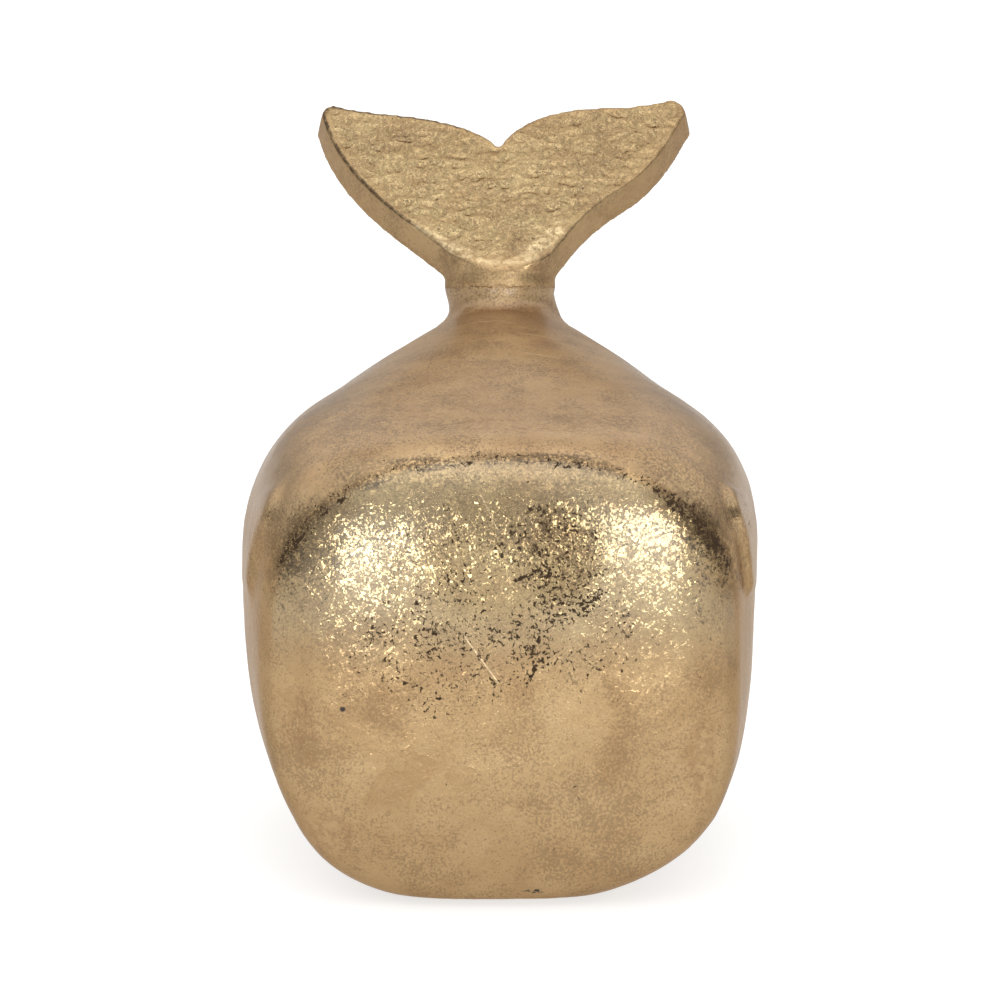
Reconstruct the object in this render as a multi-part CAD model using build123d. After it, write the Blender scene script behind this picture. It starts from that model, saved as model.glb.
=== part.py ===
"""Whale figurine, cast in two pieces and stood on four pads.

All lengths are in millimetres and all angles in degrees. +Z is up, the head faces -Y and the tail stands
at +Y. While the pieces are made, Y runs from the nose and Z from the flat base of the body. At the end
everything is moved so that the origin lies on the table, under the middle of the figurine.
"""

import os
from math import cos, radians, sin
from typing import NamedTuple

from build123d import *

# Body casting
body_length = 172.0
body_width = 140.0
back_height = 140.0
nose_depth = 22.0
wall = 6.0
floor_thickness = 7.0

# Pectoral fins, in low relief on the flanks
fin_relief = 2.7
fin_start = 18.0
fin_length = 82.0
fin_depth = 30.0
fin_corner_diameter = 12.0
fin_height = 93.0
fin_sweep = 8.0
fin_drop = 17.0

# Seam of the two castings, with the spigot of the tail in a socket of the body
stock_width = 31.0
stock_depth = 30.0
stock_lean = 10.0
spigot_diameter = 18.0
spigot_tip_diameter = 16.0
spigot_length = 20.0
boss_wall = 5.0
boss_floor = 4.0
glue_gap = 0.2

# Tail casting
fluke_span = 101.0
fluke_chord = 61.0
fluke_thickness = 12.0
fluke_lean = 50.0
stock_reach = 22.0
ridge_height = 4.9

# Steel dowel along the neck
dowel_diameter = 5.0
dowel_length = 44.0
dowel_reach = 9.0
dowel_gap = 0.1

# Base plate and foot pads
opening_length = 66.0
opening_width = 32.0
ledge = 5.0
plate_thickness = 3.0
plate_gap = 0.3
pad_diameter = 12.0
pad_thickness = 1.5
pad_spacing_x = 36.0
pad_spacing_y = 88.0

overrun = 2.0


class Station(NamedTuple):
    """One planar loop round the body. Runs are shares of its length, rises of its height.

    The half width is a share of half the body's width. The waist says how far down the loop its widest
    point lies. The crown, waist and keel handles say how far the curve runs straight from the back, the
    widest point and the belly: small handles give a peaked form, large ones a square form. The fin share
    says how much of the fin relief stands proud there.
    """

    back_run: float
    back_rise: float
    belly_run: float
    belly_rise: float
    half_width: float
    waist: float
    crown_handle: float
    waist_handle: float
    keel_handle: float
    fin: float


# The loops stand upright at the head, then fan round the bend of the back as far as the tail seam
station_shares = (
    Station(0.128, 0.886, 0.128, -0.020, 0.913, 0.50, 0.92, 0.42, 0.60, 1.0),
    Station(0.279, 0.909, 0.279, -0.022, 0.967, 0.41, 0.75, 0.38, 0.88, 0.22),
    Station(0.442, 0.936, 0.442, -0.029, 0.993, 0.38, 0.59, 0.29, 0.93, 0.06),
    Station(0.593, 0.957, 0.593, -0.029, 1.000, 0.42, 0.48, 0.24, 0.85, 0.06),
    Station(0.663, 0.9635, 0.727, -0.023, 0.982, 0.46, 0.47, 0.24, 0.75, 0.0),
    Station(0.703, 0.967, 0.849, 0.036, 0.896, 0.48, 0.49, 0.25, 0.66, 0.0),
    Station(0.735, 0.969, 0.948, 0.229, 0.733, 0.50, 0.54, 0.25, 0.60, 0.0),
    Station(0.759, 0.9715, 0.997, 0.514, 0.520, 0.50, 0.60, 0.24, 0.58, 0.0),
    Station(0.776, 0.976, 0.997, 0.750, 0.326, 0.48, 0.60, 0.25, 0.57, 0.0),
    Station(0.788, 0.993, 0.977, 0.900, 0.224, 0.50, 0.52, 0.27, 0.55, 0.0),
)
nose_centre_share = 0.457
nose_cap_share = 0.20
nose_side_share = 0.62
nose_face_share = 0.93
seam_run_share = 0.878
round_share = 0.5523
core_sides = 4
core_stations = 8
core_front_share = 0.82
base_middle_share = 0.42

# The two lobes were cut by hand and differ: across is a share of half the span, along a share of the chord
left_leading_shares = (
    (-0.27, 0.075),
    (-0.37, 0.155),
    (-0.62, 0.365),
    (-0.83, 0.59),
    (-0.92, 0.73),
    (-0.995, 0.92),
)
left_tip_shares = (-0.985, 0.985)
left_trailing_shares = ((-0.925, 1.00), (-0.75, 0.965), (-0.44, 0.925), (-0.17, 0.85), (-0.04, 0.775))
right_leading_shares = (
    (0.26, 0.06),
    (0.37, 0.19),
    (0.59, 0.42),
    (0.74, 0.53),
    (0.85, 0.64),
    (0.93, 0.75),
    (1.02, 0.91),
)
right_tip_shares = (1.02, 1.015)
right_trailing_shares = ((0.96, 1.04), (0.76, 1.00), (0.35, 0.965), (0.14, 0.885), (0.03, 0.79))
notch_shares = (-0.005, 0.735)
root_shares = (0.0, 0.03)
fluke_flare_share = 0.035
flare_middle_share = 0.10


def stock_axis():
    """Direction of the tail stock, square to the seam."""
    return Vector(0, sin(radians(stock_lean)), cos(radians(stock_lean)))


def seam_plane():
    """The level joint where the tail stands on the body."""
    centre = Vector(0, seam_run_share * body_length, back_height)
    return Plane(origin=centre, x_dir=(1, 0, 0), z_dir=stock_axis())


def face_plane():
    """Front face of the flukes, with its origin on the ridge where the stock meets it."""
    seam = seam_plane()
    ridge = seam.origin - seam.y_dir * (stock_depth / 2) + seam.z_dir * ridge_height
    normal = Vector(0, -cos(radians(fluke_lean)), sin(radians(fluke_lean)))
    return Plane(origin=ridge, x_dir=(1, 0, 0), z_dir=normal)


def loop_net(back, belly, half_width, waist, crown_handle, waist_handle, keel_handle):
    """Twelve control points of a closed loop of four cubic quarters, clockwise from the back."""
    out = Vector(half_width, 0, 0)
    down = (belly - back) * waist_handle
    side = back + (belly - back) * waist
    return [
        back,
        back + out * crown_handle,
        side + out - down,
        side + out,
        side + out + down,
        belly + out * keel_handle,
        belly,
        belly - out * keel_handle,
        side - out + down,
        side - out,
        side - out - down,
        back - out * crown_handle,
    ]


def station_net(station, inset, fin_swell):
    """Control points of one station, drawn in by a wall or swelled by the fin relief."""
    back = Vector(0, station.back_run * body_length, station.back_rise * back_height)
    belly = Vector(0, station.belly_run * body_length, station.belly_rise * back_height)
    inward = (belly - back).normalized() * inset
    half_width = station.half_width * body_width / 2 - inset + fin_swell * station.fin
    form = (station.waist, station.crown_handle, station.waist_handle, station.keel_handle)
    return loop_net(back + inward, belly - inward, half_width, *form)


def seam_net():
    """Control points of the oval seam, seen from the body."""
    seam = seam_plane()
    half = seam.y_dir * (stock_depth / 2)
    form = (1 / 2, round_share, round_share / 2, round_share)
    return loop_net(seam.origin - half, seam.origin + half, stock_width / 2, *form)


def mean_step(net_a, net_b):
    """Mean distance between two loops, which sets how fast the skin runs between them."""
    return sum((b - a).length for a, b in zip(net_a, net_b)) / len(net_a)


def station_slopes(nets, last_slope):
    """Direction in which each control point travels at each loop, so that the skin has no crease."""
    steps = [mean_step(a, b) for a, b in zip(nets, nets[1:])]
    slopes = []
    for before, net, after, step_in, step_out in zip(nets, nets[1:], nets[2:], steps, steps[1:]):
        slopes.append(
            [
                ((q - p) * (step_out / step_in) + (r - q) * (step_in / step_out)) / (step_in + step_out)
                for p, q, r in zip(before, net, after)
            ]
        )
    first = [(q - p) * (2 / steps[0]) - slope for p, q, slope in zip(nets[0], nets[1], slopes[0])]
    if last_slope is None:
        last = [(q - p) * (2 / steps[-1]) - slope for p, q, slope in zip(nets[-2], nets[-1], slopes[-1])]
    else:
        last = [last_slope] * len(nets[-1])
    return [first, *slopes, last], steps


def patches(row_nets):
    """Four bicubic faces between two loops, from four rows of control points."""
    faces = []
    for start in range(0, 12, 3):
        columns = [(start + offset) % 12 for offset in range(4)]
        faces.append(Face.make_bezier_surface([[net[column] for column in columns] for net in row_nets]))
    return faces


def cap(net):
    """The flat face inside a loop."""
    quarters = [[net[(start + offset) % 12] for offset in range(4)] for start in range(0, 12, 3)]
    return Face(Wire([Bezier(*quarter) for quarter in quarters]))


def nose_centre(head_net):
    """Point of the head's own section that the nose closes on."""
    return Vector(0, head_net[0].Y, nose_centre_share * back_height)


def nose_rows(head_net, head_slope):
    """Rows that close the head in a full, soft cushion with a small flat cap."""
    centre = nose_centre(head_net)
    forward = Vector(0, -nose_depth, 0)
    face_scale = nose_cap_share + (1 - nose_cap_share) * nose_face_share
    return [
        [centre + (point - centre) * nose_cap_share + forward for point in head_net],
        [centre + (point - centre) * face_scale + forward for point in head_net],
        [point - slope * (nose_depth * nose_side_share) for point, slope in zip(head_net, head_slope)],
        head_net,
    ]


def body_skin(fin_swell=0.0):
    """Closed solid skinned smoothly through the stations, from the nose to the seam."""
    nets = [station_net(station, 0, fin_swell) for station in station_shares]
    nets.append(seam_net())
    slopes, steps = station_slopes(nets, stock_axis())
    rows = nose_rows(nets[0], slopes[0])
    faces = [cap(rows[0]), *patches(rows)]
    for net_a, net_b, slope_a, slope_b, step in zip(nets, nets[1:], slopes, slopes[1:], steps):
        leaving = [point + slope * (step / 3) for point, slope in zip(net_a, slope_a)]
        arriving = [point - slope * (step / 3) for point, slope in zip(net_b, slope_b)]
        faces += patches([net_a, leaving, arriving, net_b])
    faces.append(cap(nets[-1]))
    return Solid(Shell(faces))


def facets(net):
    """The loop as a polygon that lies within it, with the same number of sides in each quarter."""
    corners = []
    for start in range(0, 12, 3):
        quarter = Bezier(*[net[(start + offset) % 12] for offset in range(4)])
        corners += [quarter @ (step / core_sides) for step in range(core_sides)]
    return Wire.make_polygon(corners)


def core():
    """The hollow left by the core of the mould: plain flats, at least the wall inside the skin."""
    nets = [station_net(station, wall, 0) for station in station_shares[:core_stations]]
    head = nets[0]
    centre = nose_centre(head)
    forward = Vector(0, wall - nose_depth, 0)
    front = [centre + (point - centre) * core_front_share + forward for point in head]
    return Solid.make_loft([facets(net) for net in (front, *nets)], True)


def base_plane():
    """The flat underside of the body, with its origin at the middle of the base."""
    return Plane(origin=(0, base_middle_share * body_length, 0), x_dir=(0, 1, 0), z_dir=(0, 0, 1))


def fin_prism():
    """Outline of both fins seen from the side, run through the whole body."""
    corner = Circle(fin_corner_diameter / 2)
    run = fin_start + fin_corner_diameter / 2
    rise = (fin_depth - fin_corner_diameter) / 2
    top = Pos(run, fin_height + rise) * corner
    low = Pos(run + fin_sweep, fin_height - rise) * corner
    tip = Pos(run + fin_length - fin_corner_diameter, fin_height - fin_drop) * corner
    outline = make_hull(top.edges() + low.edges() + tip.edges())
    return extrude(Plane.YZ * outline, amount=body_width, both=True)


def tapered_plug(clearance):
    """Tapered plug under the seam: the spigot itself, or with a clearance its socket."""
    length = spigot_length + clearance
    tip = seam_plane().offset(-length)
    return Solid.make_cone(spigot_tip_diameter / 2 + clearance, spigot_diameter / 2 + clearance, length, tip)


def neck_rod(clearance):
    """The dowel along the neck, or with a clearance the bore for it in both castings."""
    seam = seam_plane()
    start = seam.offset(dowel_reach - dowel_length - clearance)
    return extrude(start * Circle(dowel_diameter / 2 + clearance), amount=dowel_length + 2 * clearance)


def plate_outline(margin):
    """Round-ended outline of the opening in the base, grown by a margin."""
    return SlotOverall(opening_length + 2 * margin, opening_width + 2 * margin)


def body_shell():
    """Head, back and belly as one hollow casting with its fins, boss, socket and base rim."""
    outside = split(body_skin() + (body_skin(fin_swell=fin_relief) & fin_prism()), Plane.XY, keep=Keep.TOP)
    boss_size = Circle(spigot_diameter / 2 + boss_wall)
    boss = extrude(seam_plane() * boss_size, amount=-(dowel_length - dowel_reach + boss_floor))
    hollow = split(core(), Plane.XY.offset(floor_thickness), keep=Keep.TOP) - boss
    base = base_plane()
    opening = extrude(base * plate_outline(0), amount=floor_thickness + overrun)
    rebate = extrude(base * plate_outline(ledge), amount=plate_thickness)
    return outside - hollow - opening - rebate - tapered_plug(glue_gap) - neck_rod(dowel_gap)


def spot(shares):
    """A point of the fluke outline on the front face."""
    return (shares[0] * fluke_span / 2, shares[1] * fluke_chord)


def fluke_outline():
    """The two lobes as one closed outline, from the root round both tips to the notch."""
    root = spot(root_shares)
    notch = spot(notch_shares)
    left_leading = [spot(shares) for shares in left_leading_shares]
    left_trailing = [spot(shares) for shares in left_trailing_shares]
    right_leading = [spot(shares) for shares in right_leading_shares]
    right_trailing = [spot(shares) for shares in right_trailing_shares]
    edges = [
        Spline(root, *left_leading),
        ThreePointArc(left_leading[-1], spot(left_tip_shares), left_trailing[0]),
        Spline(*left_trailing, notch),
        Spline(notch, *reversed(right_trailing)),
        ThreePointArc(right_trailing[0], spot(right_tip_shares), right_leading[-1]),
        Spline(*reversed(right_leading), root),
    ]
    return make_face(edges)


def fluke_slab():
    """The flat slab of the flukes, which flares a little from its front face to its back."""
    face = face_plane()
    outline = fluke_outline()
    middle = Pos(0, flare_middle_share * fluke_chord)
    grown = middle * scale(middle.inverse() * outline, 1 + fluke_flare_share)
    return loft([face * outline, face.offset(-fluke_thickness) * grown])


def tail_casting():
    """Tail stock and flukes as one casting, with the spigot that seats in the body."""
    stock = Solid.extrude(cap(seam_net()), stock_axis() * stock_reach)
    stock = split(stock, face_plane(), keep=Keep.BOTTOM)
    slab = split(fluke_slab(), seam_plane(), keep=Keep.TOP)
    return stock + slab + tapered_plug(0) - neck_rod(dowel_gap)


def tail_dowel():
    """Steel rod that carries the thin neck."""
    return neck_rod(0)


def base_plate():
    """Board that closes the casting from below, flush with the base."""
    return extrude(base_plane() * plate_outline(ledge - plate_gap), amount=plate_thickness)


def foot_pads():
    """The four round pads under the base rim."""
    disc = Circle(pad_diameter / 2)
    spots = GridLocations(pad_spacing_y, pad_spacing_x, 2, 2)
    return [extrude(base_plane() * corner * disc, amount=-pad_thickness) for corner in spots]


def main():
    """Make every piece, set the figurine on its origin and write one file a piece."""
    pieces = {
        "body_shell": body_shell(),
        "tail_casting": tail_casting(),
        "tail_dowel": tail_dowel(),
        "base_plate": base_plate(),
    }
    for number, pad in enumerate(foot_pads(), 1):
        pieces[f"foot_pad_{number}"] = pad
    boxes = [piece.bounding_box() for piece in pieces.values()]
    middle = (min(box.min.Y for box in boxes) + max(box.max.Y for box in boxes)) / 2
    stand = Pos(0, -middle, pad_thickness)
    os.makedirs("parts", exist_ok=True)
    for name, piece in pieces.items():
        piece = stand * piece
        size = piece.bounding_box().size
        print(f"{name}: {piece.volume / 1000:.1f} cm3, {size.X:.1f} x {size.Y:.1f} x {size.Z:.1f} mm")
        export_step(piece, f"parts/{name}.step")


main()
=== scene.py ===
# %% [markdown]
# # A gilded whale, cast in two pieces
# This lesson dresses a small cast whale in hand-laid imitation gold leaf. The castings come from the packed
# CAD model, and the finish is what makes the object: crinkled leaf over a brown ground, worn through in
# flecks, under soft studio light. Blender works in metres. Sizes on the whale are written in millimetres
# and multiplied by MM where Blender needs them, and the room and the camera are laid out in plain metres.

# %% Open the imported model
from math import cos, pi, radians, sin
from typing import NamedTuple

import bpy
import numpy as np
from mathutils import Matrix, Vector, noise
from mathutils.bvhtree import BVHTree


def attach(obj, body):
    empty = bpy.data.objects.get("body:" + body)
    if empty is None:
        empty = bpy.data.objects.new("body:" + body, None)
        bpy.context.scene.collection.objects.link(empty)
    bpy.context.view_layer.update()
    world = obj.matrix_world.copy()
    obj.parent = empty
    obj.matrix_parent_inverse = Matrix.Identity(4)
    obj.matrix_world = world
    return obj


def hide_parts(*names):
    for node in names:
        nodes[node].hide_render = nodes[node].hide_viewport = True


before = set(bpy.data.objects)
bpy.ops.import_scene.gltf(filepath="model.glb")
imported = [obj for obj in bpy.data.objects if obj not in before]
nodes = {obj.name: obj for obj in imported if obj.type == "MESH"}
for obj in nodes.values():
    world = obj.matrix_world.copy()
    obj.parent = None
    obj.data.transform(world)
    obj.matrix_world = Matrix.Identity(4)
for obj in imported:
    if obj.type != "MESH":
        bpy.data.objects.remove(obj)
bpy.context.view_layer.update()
MM = 0.001
print("nodes:", sorted(nodes))

# %% [markdown]
# The castings are cold and dense, but their skin isn't perfect: the mould leaves shallow lumps, and the leaf
# follows them. Relief needs many small even faces, which a CAD mesh doesn't have, so each skin is rebuilt
# first as a voxel grid of quads. Subdividing the long CAD triangles would also work, but it keeps their
# slivers, and relief looks torn on those. The tail has the finer cuts, so it gets the smaller quads.

# %% Rebuild a skin as small even quads
BODY_QUAD = 0.9 * MM
TAIL_QUAD = 0.55 * MM


def as_drawn(piece):
    """Bake the piece's modifiers into its mesh."""
    drawn = piece.evaluated_get(bpy.context.evaluated_depsgraph_get())
    skin = bpy.data.meshes.new_from_object(drawn)
    piece.modifiers.clear()
    piece.data = skin


def even_quads(name, node, quad):
    """A copy of a node's skin made of small quads, which stands for the node."""
    piece = bpy.data.objects.new(name, nodes[node].data.copy())
    bpy.context.scene.collection.objects.link(piece)
    grid = piece.modifiers.new("grid", "REMESH")
    grid.mode = "VOXEL"
    grid.voxel_size = quad
    as_drawn(piece)
    piece.data.shade_smooth()
    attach(piece, "root")
    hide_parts(node)
    print(name, "has", len(piece.data.vertices), "points")
    return piece


body = even_quads("gilded_body", "body_shell", BODY_QUAD)
tail = even_quads("gilded_tail", "tail_casting", TAIL_QUAD)

# %% [markdown]
# Hand work softens a casting more in some places than in others. The lower edge of the fluke face was rubbed
# round before gilding, and the fins melt into the flanks. The rest is eased only a little, and the joint at
# the neck not at all, because the two rims have to keep meeting there. So each place gets a weight from 0 to
# 1, which says how much smoothing a point takes. It is worked out from where the point lies, because a
# rebuilt skin has no edges left that could be picked one by one.

# %% Say which places are soft
NECK_TILT = radians(10)
FLUKE_TILT = radians(50)
SEAM = Vector((0, 53.46, 141.5)) * MM
NECK = Vector((0, sin(NECK_TILT), cos(NECK_TILT)))
RIDGE = Vector((0, 39.5, 148.9)) * MM
FACE = Vector((0, -cos(FLUKE_TILT), sin(FLUKE_TILT)))

# Each band below is two limits in millimetres: a weight is 0 at the first and 1 at the second.
OFF_SEAM = (0.9, 2.5)
ROUND_RIDGE = (18, 11)
BEHIND_FACE = (-9, -5)
OVER_SEAM = (1, 6)
FIN_SIDE = (50, 54)
FIN_FRONT = (-88, -84)
FIN_BACK = (-40, -50)
FIN_LOW = (66, 72)
LEFT_HALF = (0, -20)
RIDGE_STRETCH = 0.1


def ramp(value, low, high):
    """0 at low, 1 at high and straight between; low may be the larger one."""
    return min(max((value - low) / (high - low), 0), 1)


def above_seam(point):
    """Height over the joint of the two castings, along the neck, in millimetres."""
    return (point - SEAM).dot(NECK) / MM


def seam_weight(point):
    """0 at the joint and 1 from a few millimetres away."""
    return ramp(abs(above_seam(point)), *OFF_SEAM)


def ridge_weight(point):
    """1 round the lower edge of the fluke face, where it turns into the neck."""
    along = (point - RIDGE) / MM
    near = ramp(Vector((along.x * RIDGE_STRETCH, along.y, along.z)).length, *ROUND_RIDGE)
    return near * ramp(along.dot(FACE), *BEHIND_FACE) * ramp(above_seam(point), *OVER_SEAM)


def fin_weight(point):
    """1 round the front edges of the two fins."""
    x, y, z = point / MM
    along = ramp(y, *FIN_FRONT) * ramp(y, *FIN_BACK)
    return ramp(abs(x), *FIN_SIDE) * along * ramp(z, *FIN_LOW)


def left_fin_weight(point):
    """1 round the left fin, which came out of the mould fainter than the right one."""
    return fin_weight(point) * ramp(point.x / MM, *LEFT_HALF)


print("seam at", [round(c / MM, 2) for c in SEAM], "and ridge at", [round(c / MM, 2) for c in RIDGE])

# %% [markdown]
# A smooth modifier with a vertex group eases the points by their weights. Rounding the same edges in the CAD
# model would cost thousands of small faces, and sculpting them by hand couldn't be run again. The ridge of
# the flukes takes four passes, and each one works its weights out again from where the points have moved.

# %% Soften the edges
BODY_ROUNDS, FIN_ROUNDS, LEFT_FIN_ROUNDS = 3, 16, 50
TAIL_ROUNDS, RIDGE_ROUNDS, RIDGE_PASSES = 10, 30, 4


def soften(piece, weight, rounds):
    """Smooth the piece where weight(point) is above 0."""
    group = piece.vertex_groups.new(name="soft")
    for vertex in piece.data.vertices:
        share = weight(vertex.co)
        if share > 0:
            group.add([vertex.index], share, "REPLACE")
    ease = piece.modifiers.new("ease", "SMOOTH")
    ease.vertex_group = "soft"
    ease.factor = 0.5
    ease.iterations = rounds
    as_drawn(piece)
    piece.vertex_groups.clear()
    print(piece.name, "softened for", rounds, "rounds")


soften(body, seam_weight, BODY_ROUNDS)
soften(body, fin_weight, FIN_ROUNDS)
soften(body, left_fin_weight, LEFT_FIN_ROUNDS)
soften(tail, seam_weight, TAIL_ROUNDS)
for _ in range(RIDGE_PASSES):
    soften(tail, ridge_weight, RIDGE_ROUNDS)

# %% [markdown]
# Relief is cut inwards only, so the casting never grows past its true size. A point on the inside of the
# hollow casting looks at other walls of the same casting, which a ray finds, and it stays where it is. A
# displace modifier would be shorter, but by itself it can't tell the two sides of a wall apart.

# %% Find the outside and push it in
RAY_START = 0.5 * MM
RAY_LENGTH = 0.2


def outside(piece):
    """The points and normals of the skin, and whether no other wall of the piece covers each."""
    points = [v.co.copy() for v in piece.data.vertices]
    normals = [v.normal.copy() for v in piece.data.vertices]
    walls = BVHTree.FromPolygons(points, [tuple(p.vertices) for p in piece.data.polygons])
    clear = [walls.ray_cast(p + n * RAY_START, n, RAY_LENGTH)[0] is None for p, n in zip(points, normals)]
    print(piece.name, "outside points:", sum(clear), "of", len(clear))
    return points, normals, clear


def sink(piece, depths, shift):
    """Move each outside point inwards by its depth, and all points aside by shift(point)."""
    points, normals, clear = outside(piece)
    moved = [p - n * d * c + shift(p) for p, n, d, c in zip(points, normals, depths, clear)]
    piece.data.vertices.foreach_set("co", np.array([tuple(p) for p in moved]).ravel())
    piece.data.update()


def swell(point, size):
    """A smooth noise from 0 to 1, whose lumps are about size millimetres."""
    return 0.5 + 0.5 * noise.noise(point / (size * MM))


def folds(point, size):
    """A creased noise from 0 up, whose folds are about size millimetres apart."""
    return abs(noise.noise(point / (size * MM)))


print("relief is cut into the outside only")

# %% [markdown]
# The body carries a sum of three noises: broad lumps from the mould, a finer hammered unevenness, and small
# folds where the leaf doubled up. The casting isn't quite even from left to right either, so a short list of
# heights says how far it leans to one side there. A single noise would make the skin look like orange peel.

# %% Press the lumps into the body
LUMP_SIZE, LUMP_DEPTH = 19, 0.34
HAMMER_SIZE, HAMMER_DEPTH = 7, 0.14
FOLD_SIZE, FOLD_DEPTH = 2.8, 0.06
HEIGHTS = (0, 4, 8, 14, 22, 34, 46, 60, 75, 90, 100, 112, 120, 128, 134, 139)
LEANS = (-1.4, -1.3, -0.6, 0.4, 1.1, 0.9, 0.2, -0.2, -0.2, 0.1, 0.5, 0.6, 0.3, 0.9, 1.2, 0)


def lean_aside(point):
    """How far the body leans to one side at a point's height."""
    return Vector((float(np.interp(point.z / MM, HEIGHTS, LEANS)) * MM, 0, 0))


def body_relief(point):
    """Depth of the mould's lumps and the leaf's folds at a point of the body."""
    lumps = LUMP_DEPTH * swell(point, LUMP_SIZE)
    hammered = HAMMER_DEPTH * swell(point, HAMMER_SIZE)
    return (lumps + hammered + FOLD_DEPTH * folds(point, FOLD_SIZE)) * MM * seam_weight(point)


sink(body, [body_relief(v.co) for v in body.data.vertices], lean_aside)

# %% [markdown]
# The broad face of the flukes is rougher than the rest. Short chisel cuts run across it, so its noise is
# stretched sideways, and the slab's edges and back stay smooth. The face is found by its normal, because
# the slab leans back and its face looks up and forwards. That share is then spread over the neighbouring
# points, or the relief would end in a step along the edge. Each point keeps its share as an attribute, and
# the leaf reads it again later, because it is crumpled there and worn along the rim.

# %% Find the fluke face
UP_THE_FACE = Vector((0, sin(FLUKE_TILT), cos(FLUKE_TILT)))
FACING = (0.90, 0.985)
FACE_START = (0, 7)
SPREAD_ROUNDS = 60


def fluke_face(point, normal):
    """How much a point belongs to the broad face of the flukes, from 0 to 1."""
    return ramp(normal.dot(FACE), *FACING) * ramp((point - RIDGE).dot(UP_THE_FACE) / MM, *FACE_START)


def spread(piece, shares, rounds):
    """Even out one share per point with its neighbours along the mesh's edges."""
    ends = np.empty(2 * len(piece.data.edges), dtype=int)
    piece.data.edges.foreach_get("vertices", ends)
    first, second = ends.reshape(-1, 2).T
    count = len(shares)
    neighbours = np.bincount(ends, minlength=count)
    shares = np.array(shares)
    for _ in range(rounds):
        total = np.bincount(first, shares[second], count) + np.bincount(second, shares[first], count)
        shares = (shares + total / neighbours) / 2
    return shares


faces = spread(tail, [fluke_face(v.co, v.normal) for v in tail.data.vertices], SPREAD_ROUNDS)
tail.data.attributes.new("face", "FLOAT", "POINT").data.foreach_set("value", faces)
print("points on the fluke face:", int((faces > 0.5).sum()), "of", len(faces))

# %% [markdown]
# The cuts were made with short strokes, so they are wider than they are tall, and small chips lie between
# them. The rest of the tail has only soft lumps. The rim at the joint is pushed a little way down into the
# body, so that no light passes between the two castings. Filling the gap with a third mesh would show as a
# ring.

# %% Cut the fluke face
CUT_WIDE, CUT_TALL, CUT_DEPTH = 5.5, 2.8, 0.80
CHIP_SIZE, CHIP_DEPTH = 2.5, 0.75
TAIL_LUMP_SIZE, TAIL_LUMP_DEPTH = 11, 0.16
RIM_PUSH = 0.9 * MM
RIM_BAND = (1.2, 0.3)


def tail_relief(point, face):
    """Depth of the chisel cuts on the face and of the soft lumps elsewhere."""
    cuts = 0.5 + 0.5 * noise.noise(Vector((point.x / CUT_WIDE, point.y / CUT_TALL, point.z / CUT_TALL)) / MM)
    lumps = TAIL_LUMP_DEPTH * swell(point, TAIL_LUMP_SIZE) * seam_weight(point)
    return (lumps + face * (CUT_DEPTH * cuts + CHIP_DEPTH * folds(point, CHIP_SIZE))) * MM


def into_the_joint(point):
    """Push the rim over the joint down into the body."""
    return NECK * -RIM_PUSH * ramp(above_seam(point), *RIM_BAND)


sink(tail, [tail_relief(v.co, face) for v, face in zip(tail.data.vertices, faces)], into_the_joint)

# %% [markdown]
# A material is a small recipe of numbers that change over the surface. Node trees get long, so the maths
# is written as ordinary Python: one class wraps a socket, and adding or multiplying two of them adds the
# Math node that does it. Any other node comes from one method that takes its type, settings and inputs.

# %% A socket that can be reckoned with
class Wire:
    """One output of a node, which takes + - * / like a number."""

    def __init__(self, tree, socket):
        self.tree = tree
        self.socket = socket

    def node(self, kind, settings, inputs, output=0):
        """Add a node of any kind, set it up, feed its sockets and return one of its outputs."""
        return add_node(self.tree, kind, settings, inputs, output)

    def other(self, output):
        """Another output of the same node."""
        return Wire(self.tree, self.socket.node.outputs[output])

    def math(self, operation, *values):
        """A Math node fed with the values in turn."""
        return self.node("ShaderNodeMath", {"operation": operation}, dict(enumerate(values)))

    def __add__(self, other):
        return self.math("ADD", self, other)

    def __mul__(self, other):
        return self.math("MULTIPLY", self, other)

    def __sub__(self, other):
        return self.math("SUBTRACT", self, other)

    def __rsub__(self, other):
        return self.math("SUBTRACT", other, self)

    def __truediv__(self, other):
        return self.math("DIVIDE", self, other)

    def __abs__(self):
        return self.math("ABSOLUTE", self)

    __radd__ = __add__
    __rmul__ = __mul__

    def at_most(self, limit):
        """The wire, but never above the limit."""
        return self.math("MINIMUM", self, limit)

    def at_least(self, limit):
        """The wire, but never below the limit."""
        return self.math("MAXIMUM", self, limit)

    def rise(self, low, high):
        """0 below low, 1 above high and a smooth step between; low may be the larger one."""
        step = {"interpolation_type": "SMOOTHSTEP"}
        if low < high:
            return self.node("ShaderNodeMapRange", step, {"Value": self, "From Min": low, "From Max": high})
        return 1 - self.rise(high, low)

    def between(self, low, high, soft):
        """1 from low to high, fading to 0 over soft on each side."""
        return self.rise(low - soft, low) * self.rise(high + soft, high)


def set_stops(ramp_colours, stops):
    """Give a colour ramp its stops, each a place and a shade."""
    for place, _ in stops[len(ramp_colours.elements):]:
        ramp_colours.elements.new(place)
    for element, (place, shade) in zip(ramp_colours.elements, stops):
        element.position = place
        element.color = (*shade, 1)


def add_node(tree, kind, settings, inputs, output=0):
    """Add a node to a tree; settings come first, because some of them change its sockets."""
    node = tree.nodes.new(kind)
    for key, value in settings.items():
        if key == "stops":
            set_stops(node.color_ramp, value)
        else:
            setattr(node, key, value)
    for key, value in inputs.items():
        socket = node.inputs[key]
        if isinstance(value, Wire):
            tree.links.new(value.socket, socket)
        elif isinstance(value, tuple) and len(value) == 3 and socket.type == "RGBA":
            socket.default_value = (*value, 1)
        else:
            socket.default_value = value
    return Wire(tree, node.outputs[output] if node.outputs else None)


print("wires are ready")

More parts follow.
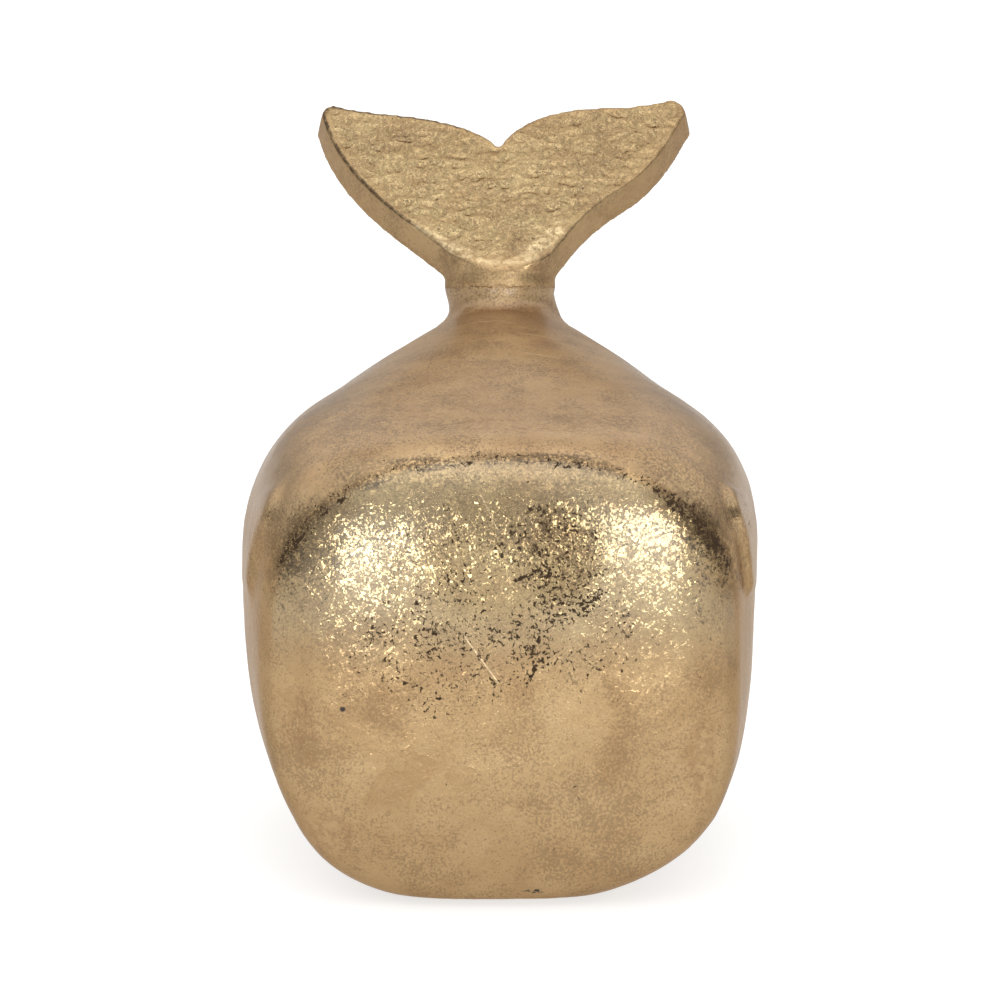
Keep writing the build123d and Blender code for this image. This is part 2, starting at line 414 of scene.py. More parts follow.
# %% [markdown]
# Every finish starts from the place on the piece and ends in one Principled shader. Object coordinates are
# used rather than a UV map, because a rebuilt skin has none, and a noise in them keeps its size all over.

# %% Start and close a finish
MM_PER_METRE = 1000


def new_finish(name):
    """An empty material and a wire that holds the place on the piece."""
    material = bpy.data.materials.new(name)
    material.use_nodes = True
    tree = material.node_tree
    tree.nodes.clear()
    return material, add_node(tree, "ShaderNodeTexCoord", {}, {}, "Object")


def close_finish(place, **sockets):
    """End a material in one Principled shader."""
    inputs = {key.replace("_", " "): value for key, value in sockets.items()}
    shader = place.node("ShaderNodeBsdfPrincipled", {}, inputs)
    place.node("ShaderNodeOutputMaterial", {}, {"Surface": shader})


def bumped(height, depth=1.0):
    """A normal from a height wire, where a height of 1 stands depth millimetres proud."""
    return height.node("ShaderNodeBump", {}, {"Strength": 1.0, "Distance": depth * MM, "Height": height})


def turned(operation, *values):
    """A Vector Math node; its first value is a wire."""
    return values[0].node("ShaderNodeVectorMath", {"operation": operation}, dict(enumerate(values)))


def grain(place, size, detail=3.0, roughness=0.5, stretch=(1, 1, 1), distortion=0.0):
    """A cloudy noise whose largest clouds are about size millimetres."""
    at = turned("MULTIPLY", place, tuple(s * MM_PER_METRE / size for s in stretch))
    values = {"Vector": at, "Scale": 1.0, "Detail": detail, "Roughness": roughness, "Distortion": distortion}
    return place.node("ShaderNodeTexNoise", {}, values)


def mottle(place, size, low, high, detail=3, roughness=0.5):
    """Ragged patches: 0 where a grain is below low, 1 where it is above high."""
    return grain(place, size, detail, roughness).rise(low, high)


def blend(share, first, second):
    """Mix two colours, each a wire or a plain triple."""
    inputs = {"Factor": share, 6: first, 7: second}
    return share.node("ShaderNodeMix", {"data_type": "RGBA"}, inputs, 2)


def shades(share, *stops):
    """A colour ramp over a wire; each stop is a place from 0 to 1 and a shade."""
    return share.node("ShaderNodeValToRGB", {"stops": stops}, {0: share})


print("finishes can be started and closed")

# %% [markdown]
# Hand marks lie in one place each. A patch is a soft ellipse and a stroke a straight line, both drawn over
# two coordinates in millimetres, the way a restorer would map damage on a drawing of the front. Painting an
# image would do the same, but it would need a UV map and a file beside the script.

# %% Draw patches and strokes
PATCH_FADE = (1.2, 0.2)
STROKE_CORE = 0.4
STROKE_END = 1


def axes(place):
    """The place's three numbers, in millimetres."""
    x = place.node("ShaderNodeSeparateXYZ", {}, {0: place})
    return x * MM_PER_METRE, x.other(1) * MM_PER_METRE, x.other(2) * MM_PER_METRE


def patch(across, up, middle, radii):
    """1 in the middle of an ellipse and 0 outside it."""
    a = (across - middle[0]) / radii[0]
    b = (up - middle[1]) / radii[1]
    return (a * a + b * b).rise(*PATCH_FADE)


def stroke(across, up, start, end, wide):
    """1 on a straight line between two points and 0 a little way off it."""
    run = Vector(end) - Vector(start)
    a, b = across - start[0], up - start[1]
    along = (a * run.x + b * run.y) / run.length
    off = abs((a * run.y - b * run.x) / run.length)
    return off.rise(wide, wide * STROKE_CORE) * along.between(0, run.length, STROKE_END)


def patches(across, up, *spots):
    """The sum of several patches, each a middle, two radii and a strength."""
    return sum(patch(across, up, middle, radii) * strength for middle, radii, strength in spots)


def strokes(across, up, *lines):
    """The sum of several strokes, each a start, an end, a width and a strength."""
    return sum(stroke(across, up, start, end, wide) * strength for start, end, wide, strength in lines)


print("marks can be drawn")

# %% [markdown]
# Imitation leaf is a brass foil, far thinner than paper, laid on tacky varnish in torn squares. It crumples
# as it is pressed down, so the skin is a field of flat facets about a millimetre wide. Each facet leans its
# own way and catches its own bit of the studio, which is why the brow sparkles in points. A bump of plain
# noise would give soft hammered waves instead. Here every cell of a Voronoi pattern gets a random slope, and
# its height is that slope times the distance from the middle of the cell.

# %% The crumpled foil
WIDE_FACET, WIDE_PUSH, WIDE_HEIGHT = 1.5, 1.6, 0.09
FINE_FACET, FINE_PUSH, FINE_HEIGHT = 0.6, 2.8, 0.14
PUSH_CLOUD = 2.2
RIPPLE, RIPPLE_HEIGHT = 0.9, 0.05


def facets(place, size, warp):
    """Flat cells about size millimetres wide, each leaning its own way, as a height in millimetres."""
    at = turned("ADD", turned("MULTIPLY", place, (MM_PER_METRE / size,) * 3), warp)
    cell = at.node("ShaderNodeTexVoronoi", {}, {"Vector": at, "Scale": 1.0}, "Color")
    lean = turned("SUBTRACT", cell, (0.5, 0.5, 0.5))
    away = turned("SUBTRACT", at, cell.other("Position"))
    return lean.node("ShaderNodeVectorMath", {"operation": "DOT_PRODUCT"}, {0: lean, 1: away}, "Value") * size


def scaled(vector, factor):
    """A vector wire times one number."""
    return vector.node("ShaderNodeVectorMath", {"operation": "SCALE"}, {0: vector, "Scale": factor})


def crumple(place):
    """Height of the crumpled foil in millimetres."""
    push = grain(place, PUSH_CLOUD, 2).other("Color")
    wide = facets(place, WIDE_FACET, scaled(push, WIDE_PUSH))
    fine = facets(place, FINE_FACET, scaled(push, FINE_PUSH))
    return wide * WIDE_HEIGHT + fine * FINE_HEIGHT + grain(place, RIPPLE, 2) * RIPPLE_HEIGHT


print("facets are", WIDE_FACET, "and", FINE_FACET, "mm wide")

# %% [markdown]
# The leaf came in squares that tore as they were laid, so the gold changes a little from one sheet to the
# next, and a faint line shows where two of them lap. The sheets are cells of a Voronoi pattern, bent by a
# noise until their sides look torn. Real sheets laid one by one would need a mesh for each.

# %% The torn sheets
SHEET = 46
TEAR, TEAR_PUSH = 18, 0.9
LAP_EDGE = (0.022, 0.004)


def leaf_sheets(place):
    """Torn sheets of leaf: a random number for each, and a line where two of them lap."""
    at = turned("MULTIPLY_ADD", place, (MM_PER_METRE / SHEET,) * 3, grain(place, TEAR, 3) * TEAR_PUSH)
    number = place.node("ShaderNodeTexVoronoi", {}, {"Vector": at, "Scale": 1.0}, "Color")
    edge = place.node("ShaderNodeTexVoronoi", {"feature": "DISTANCE_TO_EDGE"}, {"Vector": at, "Scale": 1.0})
    chance = number.node("ShaderNodeSeparateColor", {}, {0: number})
    return chance, edge.rise(*LAP_EDGE)


print("a sheet of leaf is", SHEET, "mm wide")

# %% [markdown]
# The foil is thin enough to break, and the warm brown ground shows through in three ways: as a dust of tiny
# specks all over, as crisp dark flecks where the brow was handled most, and as rubbed lines along the edges.
# On the brow, the edge of the head and the fins these flecks also lay painted shade along dark reflections.
# The ground isn't metal, so the flecks are dark, dull and brown, and don't mirror the room. A thin lacquer
# seals the leaf. It reflects without any colour, which is why the highlights turn from gold to white. On the
# brow and the fluke face, where the highlights lie, the gold is tinted a little greener: a painted highlight
# tint.

# %% The gold leaf
GOLD = (0.460, 0.308, 0.153)
PALE_GOLD = (0.505, 0.350, 0.180)
WARM_GOLD = (0.395, 0.250, 0.120)
DUSTY = (0.190, 0.116, 0.060)
GROUND = (0.040, 0.023, 0.011)
# Painted highlight tint: the gold turns a little greener where the highlights lie.
HIGHLIGHT_TINT = (0.900, 0.975, 0.960)
EDGE_TINT = (0.80, 0.68, 0.56)
DUST, DUST_CLOUD = 0.7, 17
DUST_EDGE = (0.50, 0.60)
FLECK, FLECK_CLOUD = 1.0, 5
FLECK_EDGE = (0.700, 0.760)
BREAK_MOTTLE = (4, 0.42, 0.62, 2)
BODY_CLOUD = 13
TAIL_CLOUD = 6


class Leaf(NamedTuple):
    """How the leaf is at a place. Each value is a wire or a number, and most run from 0 to 1."""
    wear_and_shade: Wire
    depth: Wire
    dullness: Wire
    lacquer: Wire
    highlight_tint: Wire
    dusty: Wire


def gild(name, state, marks, cloud):
    """The leaf finish; state(place) says how the leaf is there, and marks(place, colour) adds hand marks."""
    material, place = new_finish(name)
    leaf = state(place)
    chance, laps = leaf_sheets(place)
    clouds = grain(place, cloud, 4, 0.6, stretch=(0.8, 1, 1))
    tone = clouds * 0.58 + chance * 0.12 + 0.13
    gold = shades(tone, (0.34, WARM_GOLD), (0.50, GOLD), (0.68, PALE_GOLD))
    # Painted highlight tint on the brow and the fluke face.
    gold = blend(leaf.highlight_tint, gold, turned("MULTIPLY", gold, HIGHLIGHT_TINT))
    dust = grain(place, DUST, 3, 0.72) + (grain(place, DUST_CLOUD, 5, 0.68) - 0.5) * 0.70
    colour = blend(dust.rise(*DUST_EDGE) * leaf.dusty, gold, DUSTY)
    broken = laps * mottle(place, *BREAK_MOTTLE)
    colour = marks(place, blend(broken * 0.35, colour, WARM_GOLD))
    flecks = grain(place, FLECK, 4, 0.66, distortion=0.5) + (grain(place, FLECK_CLOUD, 3) - 0.5) * 0.34
    # On the body these flecks also carry painted shade on the brow, the edge of the head and the fins.
    worn = (flecks + leaf.wear_and_shade * 0.17).rise(*FLECK_EDGE)
    height = crumple(place) * leaf.depth - worn * 0.05 + broken * 0.04
    close_finish(
        place,
        Base_Color=blend(worn, colour, GROUND),
        Metallic=1 - worn,
        Roughness=clouds * 0.08 + 0.13 + leaf.dullness * 0.34 + worn * 0.35,
        Normal=bumped(height),
        Specular_IOR_Level=0.2,
        Specular_Tint=EDGE_TINT,
        Coat_Weight=leaf.lacquer - worn * leaf.lacquer,
        Coat_Roughness=0.30,
        Coat_IOR=1.6,
    )
    print(name, "uses", len(material.node_tree.nodes), "nodes")
    return material


def wrap(piece, material):
    """Lay one finish over a whole piece."""
    piece.data.materials.clear()
    piece.data.materials.append(material)


# %% [markdown]
# Wear follows the hand. The brow between the two highlights is handled most, and the rounded edge of the
# head is rubbed in an arc from cheek to cheek. The same marks are also painted shade: they lay a dark
# reflection on the brow and in two broad arcs at the cheeks, and dark lines along the top edge of the head
# and the fins' front edges. Each region is an ellipse or a ring measured on the front in millimetres, and the
# noise above breaks it up into flecks. The folds and the lacquer go the same way: the foil is loose and
# glossy on the brow, a little calmer between the two highlights where it was rubbed down, and pressed flat
# and dull lower on the front.

# %% Where the body is worn and where shade is painted
RING_MIDDLE = (1, 70)
RING_RADII = (60, 49.5)
RING_POWER = 2.5
RING_LINE = (0.97, 1.03, 0.09)
RING_ARCS = (0.93, 1.07, 0.18)
RING_INSIDE = (1.04, 0.94)

# Each band is two limits in millimetres: a share is 0 at the first and 1 at the second.
CHEEK_OUT = (34, 44)
CHEEK_UP = (78, 88)
LEFT_TO_RIGHT = (-20, 20)
LINE_UP = (85, 95)
MARKED_FORWARD = (-78, -88)
EDGE_FORWARD = (-55, -65)
BROW_UP = (60, 84)
BROW_FORWARD = (-60, -80)
BACK_UP = (92, 108)
BACK_BEHIND = (-70, -84)
SHOULDER_UP = (124, 132)

EDGE_CLOUD = 16
LOOSE_CLOUD = 15
# The fin marks paint a dark line of shade along each fin's front edge, as well as wear.
RIGHT_FIN = ((63.5, 106), (68.3, 86), 1.0, 0.8)
LEFT_FIN = ((-66.5, 92), (2.4, 12), 0.6)
# The brow patches are wear and painted dark reflection.
BROW = (
    ((16, 96), (14, 18), 1),
    ((-14, 72), (29, 22), 0.8),
    ((21, 76), (19, 21), 0.7),
    ((-2, 99), (27, 13), 0.7),
)
GOUGES = (
    ((4.2, 89.6), (9.8, 92), 0.6, 0.8),
    ((9.3, 67), (5.8, 59.6), 0.8, 0.8),
)
MATT_BROW = ((0, 96), (24, 20), 0.55)
MATT_SPOT = ((17, 96), (11, 15), 0.7)
CALM_BROW = ((-1, 89), (25, 25), 0.35)


def head_ring(x, z):
    """A thin line round the edge of the head, its two broad arcs at the cheeks, and the brow inside it."""
    a = abs(x - RING_MIDDLE[0]) / RING_RADII[0]
    b = abs(z - RING_MIDDLE[1]) / RING_RADII[1]
    ring = a.math("POWER", a, RING_POWER) + b.math("POWER", b, RING_POWER)
    # The cheek arcs are painted shade, a band of dark reflection, darker on the right.
    arcs = ring.between(*RING_ARCS) * abs(x).rise(*CHEEK_OUT)
    arcs = arcs * z.rise(*CHEEK_UP) * (0.45 + x.rise(*LEFT_TO_RIGHT) * 0.45)
    return ring.between(*RING_LINE), arcs, ring.rise(*RING_INSIDE)


def body_wear_and_shade(place, x, y, z):
    """Flecks on the brow, along the edge of the head and on the fins: partly wear and partly painted shade.
    """
    line, arcs, _ = head_ring(x, z)
    fins = strokes(x, z, RIGHT_FIN) + patches(x, z, LEFT_FIN)
    # Painted shade joins the wear here: the line round the head, the cheek arcs and the fin lines.
    edges = line * z.rise(*LINE_UP) * (0.3 + grain(place, EDGE_CLOUD, 2)) + arcs * 0.7 + fins
    brow = patches(x, z, *BROW).at_most(0.97) + strokes(x, z, *GOUGES)
    return (brow * y.rise(*MARKED_FORWARD)).at_least(edges * y.rise(*EDGE_FORWARD))


def body_state(place):
    """How the leaf lies on the body: a plain value first, and then what each place adds to it."""
    x, y, z = axes(place)
    line, arcs, inside = head_ring(x, z)
    front = inside * z.rise(*BROW_UP) * y.rise(*BROW_FORWARD)
    back = z.rise(*BACK_UP) * (1 - inside * y.rise(*BACK_BEHIND))
    calm = 1 - patches(x, z, CALM_BROW)
    gloss = front * (0.85 - patches(x, z, MATT_BROW)) * (1 - arcs.at_most(1))
    gloss = gloss * (1 - patches(x, z, MATT_SPOT)) + back * (0.45 - line * 0.4)
    return Leaf(
        wear_and_shade=body_wear_and_shade(place, x, y, z),
        depth=(0.55 + front * (0.35 + grain(place, LOOSE_CLOUD, 2) * 0.70) + back * 0.35) * calm,
        dullness=0.25 + z.rise(*SHOULDER_UP) * 0.75 - front * 0.22,
        lacquer=0.15 + gloss,
        # Painted highlight tint across the brow.
        highlight_tint=front,
        dusty=0.45 + back * 0.25,
    )


print("the brow is worn in", len(BROW), "patches and", len(GOUGES), "gouges")

# %% [markdown]
# Some marks happened once. On the front there are two scratches, two small chips, a dark line of painted
# shade along the top edge of the head, and stains down the cheeks; the brow patch and the cheek arcs are
# partly painted dark reflection. On the back, which the camera sees at a low angle, there are a lap of pale
# leaf, brown stains, painted shade at the foot of the neck and thin light lines. Each is a patch or a stroke
# over two coordinates, roughened by a grain, and is mixed into the colour in turn.

# %% The marks on the body
SCRATCH_GOLD = (0.86, 0.66, 0.40)
LINE_GOLD = (0.75, 0.56, 0.34)
CHIP_BLACK = (0.05, 0.04, 0.035)
STAIN_AND_SHADE_BROWN = (0.13, 0.072, 0.032)
# Brown for the painted shade along the top edge of the head.
EDGE_SHADE_BROWN = (0.12, 0.078, 0.040)
SMEAR_BROWN = (0.26, 0.135, 0.065)
# Brown for the stains on the back and for the painted shade at the foot of the neck.
BACK_STAIN_AND_SHADE_BROWN = (0.32, 0.185, 0.105)

# Each mottle is a size in millimetres and two levels of the grain, and then how fine and rough it is.
CHIP_MOTTLE = (1.2, 0.45, 0.55)
STAIN_AND_SHADE_MOTTLE = (1.8, 0.36, 0.56)
EDGE_SHADE_MOTTLE = (0.8, 0.38, 0.54, 3, 0.65)
EDGE_SHADE_CLOUDS = (12, 0.35, 0.55, 2)
SMEAR_MOTTLE = (2, 0.40, 0.60)

FRONT_FORWARD = (-60, -75)
ON_BACK = (112, 118)
PALE_LAP_ACROSS = (7, 13, 1.0)
PALE_LAP_ALONG = (-80, -34, 5)
# Painted shade in the hollow where the back turns up into the neck.
NECK_SHADE_DOWN = (139.8, 138.2)
NECK_SHADE_BACK = (2, 20)
NECK_SHADE_WIDE = (24, 9)
LONG_SCRATCH = ((-8.9, 74.5), (-0.7, 63.0), 0.26, 1)
SHORT_SCRATCH = ((-4.8, 111.0), (-0.4, 102.0), 0.25, 0.7)
ROUND_CHIP = ((-40.5, 55.2), (0.9, 0.8), 1)
LOW_CHIP = ((9.1, 5.0), (3.2, 0.8), 1)
# Partly stain and partly painted dark reflection on the brow.
BROW_STAIN_AND_SHADE = ((16, 97), (12, 15), 0.55)
# Painted shade: dark smudges along the top edge of the head.
EDGE_SHADE_PATCHES = (
    ((-33, 116), (12, 5), 0.5),
    ((-20.5, 118.3), (8.5, 1.9), 1.3),
    ((13.5, 119.6), (12, 1.2), 1.3),
)
SMEARS = (
    ((-50, 50), (4, 13), 1),
    ((-44, 20), (7, 9), 1),
    ((52, 40), (5, 16), 1),
)
BACK_STAINS = (
    ((12, 28), (3.4, 8), 1),
    ((12, 0), (4.6, 8), 1),
)
BACK_LINES = (
    ((-8, 23), (1, 22), 0.5, 1),
    ((5.5, 9), (16, 7.5), 0.5, 1),
    ((7, -11), (15, -13), 0.6, 1),
)


def front_marks(place, colour, x, y, z):
    """Scratches, chips, stains and smears, and painted shade on the head's top edge, brow and cheeks."""
    front = y.rise(*FRONT_FORWARD)
    line, arcs, _ = head_ring(x, z)
    scratch = strokes(x, z, LONG_SCRATCH).at_least(strokes(x, z, SHORT_SCRATCH))
    colour = blend(scratch * front * 0.6, colour, SCRATCH_GOLD)
    chip = patches(x, z, ROUND_CHIP) + patches(x, z, LOW_CHIP) * mottle(place, *CHIP_MOTTLE)
    colour = blend(chip * front, colour, CHIP_BLACK)
    # Painted shade: the brow patch and the cheek arcs darken the front as dark reflections.
    stain_and_shade = (patches(x, z, BROW_STAIN_AND_SHADE) + arcs * 0.65) * front
    colour = blend(stain_and_shade * mottle(place, *STAIN_AND_SHADE_MOTTLE), colour, STAIN_AND_SHADE_BROWN)
    # Painted shade: a dark speckled line and smudges along the top edge of the head.
    edge_shade = line * z.rise(*LINE_UP) * mottle(place, *EDGE_SHADE_CLOUDS) + patches(x, z, *EDGE_SHADE_PATCHES)
    edge_shade = edge_shade.at_most(1.2) * mottle(place, *EDGE_SHADE_MOTTLE)
    colour = blend(edge_shade * front * 0.75, colour, EDGE_SHADE_BROWN)
    smear = patches(x, z, *SMEARS) * front * 0.35
    return blend(smear * mottle(place, *SMEAR_MOTTLE), colour, SMEAR_BROWN)


def back_marks(colour, x, y, z):
    """A lap of pale leaf, brown stains, painted shade at the foot of the neck and thin light lines on the
    back.
    """
    on_back = z.rise(*ON_BACK)
    lap = x.between(*PALE_LAP_ACROSS) * y.between(*PALE_LAP_ALONG)
    colour = blend(lap * on_back * 0.35, colour, PALE_GOLD)
    # Painted shade in the hollow at the foot of the neck, mixed in with the stains.
    neck_shade = z.rise(*NECK_SHADE_DOWN) * y.rise(*NECK_SHADE_BACK) * abs(x).rise(*NECK_SHADE_WIDE)
    stain_and_shade = patches(x, y, *BACK_STAINS) + neck_shade * 0.75
    colour = blend(stain_and_shade.at_most(1.0) * on_back * 0.38, colour, BACK_STAIN_AND_SHADE_BROWN)
    return blend(strokes(x, y, *BACK_LINES) * on_back * 0.4, colour, LINE_GOLD)


def body_marks(place, colour):
    """All the marks on the body that each lie in one place."""
    x, y, z = axes(place)
    return back_marks(front_marks(place, colour, x, y, z), x, y, z)


wrap(body, gild("leaf_on_body", body_state, body_marks, BODY_CLOUD))

# %% [markdown]
# The fluke face is the roughest and brightest part of the tail: the leaf bridges the chisel cuts and breaks
# on their crests. Its rim is rubbed dark, and the turn at its foot carries a painted highlight, a pale band
# where the rounded edge would catch the light. The neck below it is smooth and matt. The share that was kept
# for each point tells the leaf where it is, so the finish ends exactly where the cuts end.

# %% Where the tail is worn and marked
RIM_BROWN = (0.075, 0.046, 0.022)
TAIL_BROWN = (0.17, 0.11, 0.06)
# Pale gold for the painted highlight on the turn at the foot of the fluke face.
TURN_HIGHLIGHT_GOLD = (0.72, 0.56, 0.32)
FACE_CLOUD = 9
FACE_MOTTLE = (1.6, 0.36, 0.58)
NECK_UP = (143, 148)
RIM_FACE = (0.3, 0.5, 0.15)
RIM_ACROSS = (-14, -4)
RIM_UP = (150, 154)
TURN_FACE = (0.08, 0.3)
TAIL_SMEARS = (
    ((13.5, 150), (4.5, 7), 0.7),
    ((-14, 151), (3.5, 5), 1),
)
# Painted highlight: three strokes along the turn at the foot of the fluke face.
PAINTED_TURN_HIGHLIGHT = (
    ((-25, 158), (-6, 149.6), 2.6, 1),
    ((-8, 149.2), (7, 149.2), 2.4, 1),
    ((5, 149.6), (17, 158), 2.6, 1),
)


def face_share(place):
    """The share of the fluke face that each point keeps."""
    return place.node("ShaderNodeAttribute", {"attribute_name": "face"}, {}, "Fac")


def tail_state(place):
    """How the leaf lies on the tail."""
    z = axes(place)[2]
    face = face_share(place)
    return Leaf(
        wear_and_shade=face * (grain(place, FACE_CLOUD, 2) * 0.55 - 0.05),
        depth=0.5 + face * 1.2,
        dullness=0.95 - face * 0.88 - (1 - face) * z.rise(*NECK_UP) * 0.45,
        lacquer=0.20 + face * 0.1,
        # Painted highlight tint across the fluke face.
        highlight_tint=face,
        dusty=0.5 - face * 0.05,
    )


def tail_marks(place, colour):
    """The dark rim of the face, a painted highlight on the turn at its foot and two stains beside that."""
    x, _, z = axes(place)
    face = face_share(place)
    rough = mottle(place, *FACE_MOTTLE)
    rim = face.between(*RIM_FACE) * (1 - x.rise(*RIM_ACROSS) * 0.85) * z.rise(*RIM_UP)
    colour = blend(rim * (0.4 + rough * 0.5), colour, RIM_BROWN)
    colour = blend(patches(x, z, *TAIL_SMEARS) * rough * 0.5, colour, TAIL_BROWN)
    # Painted highlight on the rounded turn at the foot of the fluke face.
    turn_highlight = strokes(x, z, *PAINTED_TURN_HIGHLIGHT).at_most(1) * face.rise(*TURN_FACE)
    return blend(turn_highlight * rough * 0.6, colour, TURN_HIGHLIGHT_GOLD)


wrap(tail, gild("leaf_on_tail", tail_state, tail_marks, TAIL_CLOUD))

# %% [markdown]
# The underside is plain: a pressed fibreboard closes the hollow casting. It keeps its shape from the packed
# model and only needs a finish, brown fibres pressed flat with darker motes between them. A wood texture
# with growth rings would be wrong here, because fibreboard has none.

# %% The base board
FIBRE, FIBRE_BUMP = 1.1, 0.08
MOTES = (0.6, 0.62, 0.70, 2)
DARK_FIBRE = (0.20, 0.125, 0.07)
LIGHT_FIBRE = (0.36, 0.25, 0.15)
MOTE_BROWN = (0.12, 0.07, 0.04)

board, place = new_finish("fibreboard")
fibres = grain(place, FIBRE, 4, 0.7, stretch=(1, 0.35, 1))
motes = mottle(place, *MOTES)
brown = shades(fibres, (0.3, DARK_FIBRE), (0.7, LIGHT_FIBRE))
close_finish(
    place,
    Base_Color=blend(motes * 0.5, brown, MOTE_BROWN),
    Roughness=0.75 + fibres * 0.15,
    Normal=bumped(fibres, FIBRE_BUMP),
)
wrap(nodes["base_plate"], board)
print("base board dressed")

# %% [markdown]
# Four rubber pads keep the whale off the furniture. Rubber is dark and matt with a fine nap, and it picks up
# pale dust from the table. A flat black would do for the colour, but it hides the nap and looks like a hole.

# %% The four pads
NAP, NAP_BUMP = 0.5, 0.05
PAD_DUST = (3, 0.5, 0.7)
RUBBER = (0.018, 0.017, 0.016)
DUSTY_RUBBER = (0.07, 0.065, 0.06)
PADS = (1, 2, 3, 4)

rubber, place = new_finish("pad_rubber")
nap = grain(place, NAP, 3, 0.6)
dust = mottle(place, *PAD_DUST)
close_finish(
    place,
    Base_Color=blend(dust * 0.4, RUBBER, DUSTY_RUBBER),
    Roughness=0.62 + nap * 0.2,
    Normal=bumped(nap, NAP_BUMP),
)
for number in PADS:
    wrap(nodes[f"foot_pad_{number}"], rubber)
print("pads dressed:", len(PADS))

# %% [markdown]
# The steel pin in the neck is hidden once the tail is glued on, and it still gets its own finish, so that
# the piece is right when it is looked at alone. A turned rod carries fine lines, so the noise is stretched
# sideways into streaks. Real grooves in the mesh would be finer than anyone could see.

# %% The steel pin
TURNING, TURNING_BUMP = 0.4, 0.02
DARK_STEEL = (0.42, 0.43, 0.45)
LIGHT_STEEL = (0.60, 0.61, 0.63)

steel, place = new_finish("turned_steel")
lines = grain(place, TURNING, 2, 0.5, stretch=(0.1, 1, 1))
close_finish(
    place,
    Base_Color=blend(lines, DARK_STEEL, LIGHT_STEEL),
    Metallic=1.0,
    Roughness=0.28 + lines * 0.15,
    Normal=bumped(lines, TURNING_BUMP),
)
wrap(nodes["tail_dowel"], steel)
print("steel pin dressed")

# %% [markdown]
# Polished metal shows the room more than its own colour. The set is a white room with a strip of bright
# light high in front, and a dimmer band round the camera. The dim band is what makes the crinkles read as
# dark and bright specks on the brow. The room is one world shader, worked out from the direction a ray goes
# in degrees. A ray that comes straight from the camera sees plain white instead, so the backdrop is clean.

# %% The room
DEGREES = 180 / pi
FRONT_WHITE = (1.03, 0.99, 0.95)
WHITE = (1, 1, 1)

# Bands in degrees of turn and lift; a third number is how softly both ends fade.
FRONT_TURN = (-100, 100, 30)
DIM_TURN = (-84, 84, 14)
DIM_LIFT = (-25, 26, 12)
RIGHT_SIDE = (44, 56)
LEFT_SIDE = (-50, -60)
STRIP_TURN = (-16, 16, 14)
STRIP_LIFT = (46, 74, 9)
WALL_LIFT = (8, 34)
ZENITH_LIFT = (64, 82)

world = bpy.data.worlds.new("studio")
bpy.context.scene.world = world
world.use_nodes = True
world.node_tree.nodes.clear()
sky = add_node(world.node_tree, "ShaderNodeTexCoord", {}, {}, "Generated")
across = sky.node("ShaderNodeSeparateXYZ", {}, {0: sky})
turn = across.math("ARCTAN2", across, across.other(1) * -1) * DEGREES
lift = across.math("ARCSINE", across.other(2)) * DEGREES
dim = turn.between(*DIM_TURN) * lift.between(*DIM_LIFT)
sides = turn.rise(*RIGHT_SIDE) + turn.rise(*LEFT_SIDE) * 0.8
strip = lift.between(*STRIP_LIFT) * turn.between(*STRIP_TURN)
walls = 0.55 + lift.rise(*WALL_LIFT) * 0.58 - dim * (0.10 + sides * 0.32)
light = walls + strip * 1.1 + lift.rise(*ZENITH_LIFT) * 0.42
tint = blend(turn.between(*FRONT_TURN), FRONT_WHITE, WHITE)
room = add_node(world.node_tree, "ShaderNodeBackground", {}, {"Color": tint, "Strength": light})
white = add_node(world.node_tree, "ShaderNodeBackground", {}, {"Color": WHITE, "Strength": 1.0})
seen = add_node(world.node_tree, "ShaderNodeLightPath", {}, {}, "Is Camera Ray")
both = seen.node("ShaderNodeMixShader", {}, {0: seen, 1: room, 2: white})
both.node("ShaderNodeOutputWorld", {}, {"Surface": both})
print("the room has", len(world.node_tree.nodes), "nodes")

# %% [markdown]
# The table is a wide matt disc. Through the light path it reads as white to the camera and as nearly white
# in the gold, most of all before the whale. Part of its brightness stays real light, so that the whale keeps
# a soft shadow under it. A plain white table would need far more light, which would then bleach the gold.

# %% The table
TABLE_RADIUS = 4.0
TABLE_SIDES = 96
TABLE_GREYS = ((0.45, 0.45, 0.45), (0.47, 0.47, 0.47))
TABLE_GLOW = 0.68

# Millimetres, as on the whale: where the part before it gets brighter, and the clouds in the paper.
TABLE_FRONT = (0, -120)
PAPER = 60

bpy.ops.mesh.primitive_circle_add(vertices=TABLE_SIDES, radius=TABLE_RADIUS, fill_type="NGON")
table = bpy.context.object
table.name = "table_top"
matt, place = new_finish("white_table")
diffuse = place.node("ShaderNodeBsdfDiffuse", {}, {"Color": blend(grain(place, PAPER, 3), *TABLE_GREYS)})
glow = place.node("ShaderNodeEmission", {}, {"Color": WHITE, "Strength": TABLE_GLOW})
path = place.node("ShaderNodeLightPath", {}, {}, "Is Camera Ray")
before = axes(place)[1].rise(*TABLE_FRONT)
mirror = path.other("Is Glossy Ray") * (0.50 + before * 0.42)
lit = place.node("ShaderNodeAddShader", {}, {0: diffuse, 1: glow})
top = place.node("ShaderNodeMixShader", {}, {0: path.at_least(mirror), 1: diffuse, 2: lit})
place.node("ShaderNodeOutputMaterial", {}, {"Surface": top})
wrap(table, matt)
print("table is", 2 * TABLE_RADIUS, "m wide")

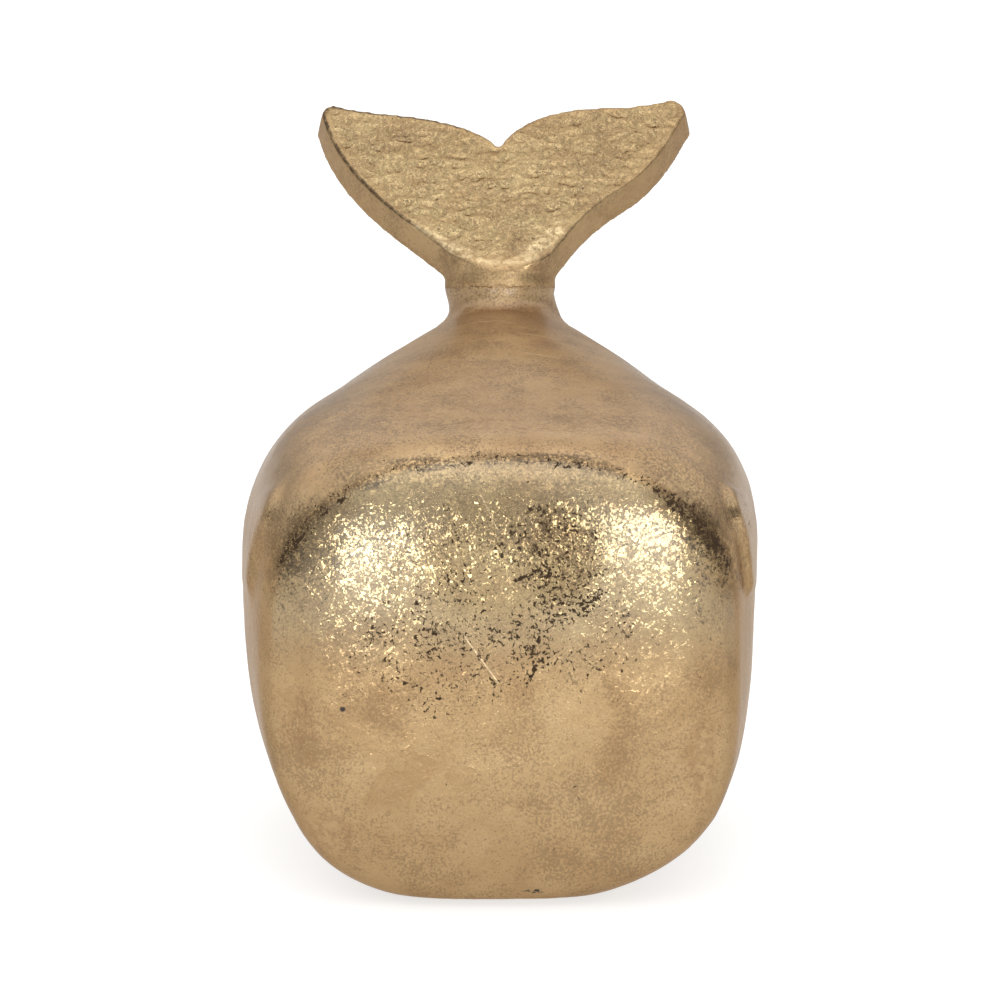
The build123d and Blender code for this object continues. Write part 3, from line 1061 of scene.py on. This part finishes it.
# %% [markdown]
# Two softboxes give the two highlights on the brow. Each is a rectangle of light a little over a metre away,
# one on each side of the camera, and its colour is slightly cool, which cancels the warmth of the gold in
# the highlights. They are placed by the direction they come from, because a highlight lies where the skin
# faces half way between the camera and the lamp.

# %% The softboxes
HEAD_MIDDLE = Vector((0, -0.05, 0.09))
LAMP_DISTANCE = 1.25
COOL_WHITE = (0.90, 0.96, 1.0)


def toward(azimuth, elevation):
    """The direction from the whale to something at two angles in degrees; 0, 0 is straight in front."""
    turned_by, raised_by = radians(azimuth), radians(elevation)
    return Vector((sin(turned_by) * cos(raised_by), -cos(turned_by) * cos(raised_by), sin(raised_by)))


def softbox(name, azimuth, elevation, wide, tall, power):
    """A soft lamp that looks at the middle of the head from a given direction."""
    lamp = bpy.data.lights.new(name, "AREA")
    lamp.shape = "RECTANGLE"
    lamp.size = wide
    lamp.size_y = tall
    lamp.energy = power
    lamp.color = COOL_WHITE
    box = bpy.data.objects.new(name, lamp)
    bpy.context.scene.collection.objects.link(box)
    away = toward(azimuth, elevation)
    box.location = HEAD_MIDDLE + away * LAMP_DISTANCE
    box.rotation_euler = away.to_track_quat("Z", "Y").to_euler()
    box.visible_camera = False
    print(name, "at", [round(c, 3) for c in box.location])


softbox("left_softbox", azimuth=-16, elevation=2, wide=0.27, tall=0.27, power=2.6)
softbox("right_softbox", azimuth=21, elevation=7, wide=0.44, tall=0.40, power=4.1)

# %% [markdown]
# The photograph was taken from a little above table height with a long lens, which keeps the sides of the
# head almost parallel. The distance and lens below put the outline where it stands in the picture. A wide
# lens from close by would swell the head and shrink the flukes.

# %% The camera
CAMERA_HEIGHT = 11.5
CAMERA_DISTANCE = 1.5
TARGET = Vector((0, -0.0036, 0.0915))
LENS = 198.2
SENSOR = 36

lens = bpy.data.cameras.new("long_lens")
lens.sensor_width = SENSOR
lens.lens = LENS
camera = bpy.data.objects.new("camera", lens)
bpy.context.scene.collection.objects.link(camera)
away = toward(0, CAMERA_HEIGHT)
camera.location = TARGET + away * CAMERA_DISTANCE
camera.rotation_euler = away.to_track_quat("Z", "Y").to_euler()
bpy.context.scene.camera = camera
bpy.context.scene.view_settings.view_transform = "Standard"
print("camera at", [round(c, 3) for c in camera.location])
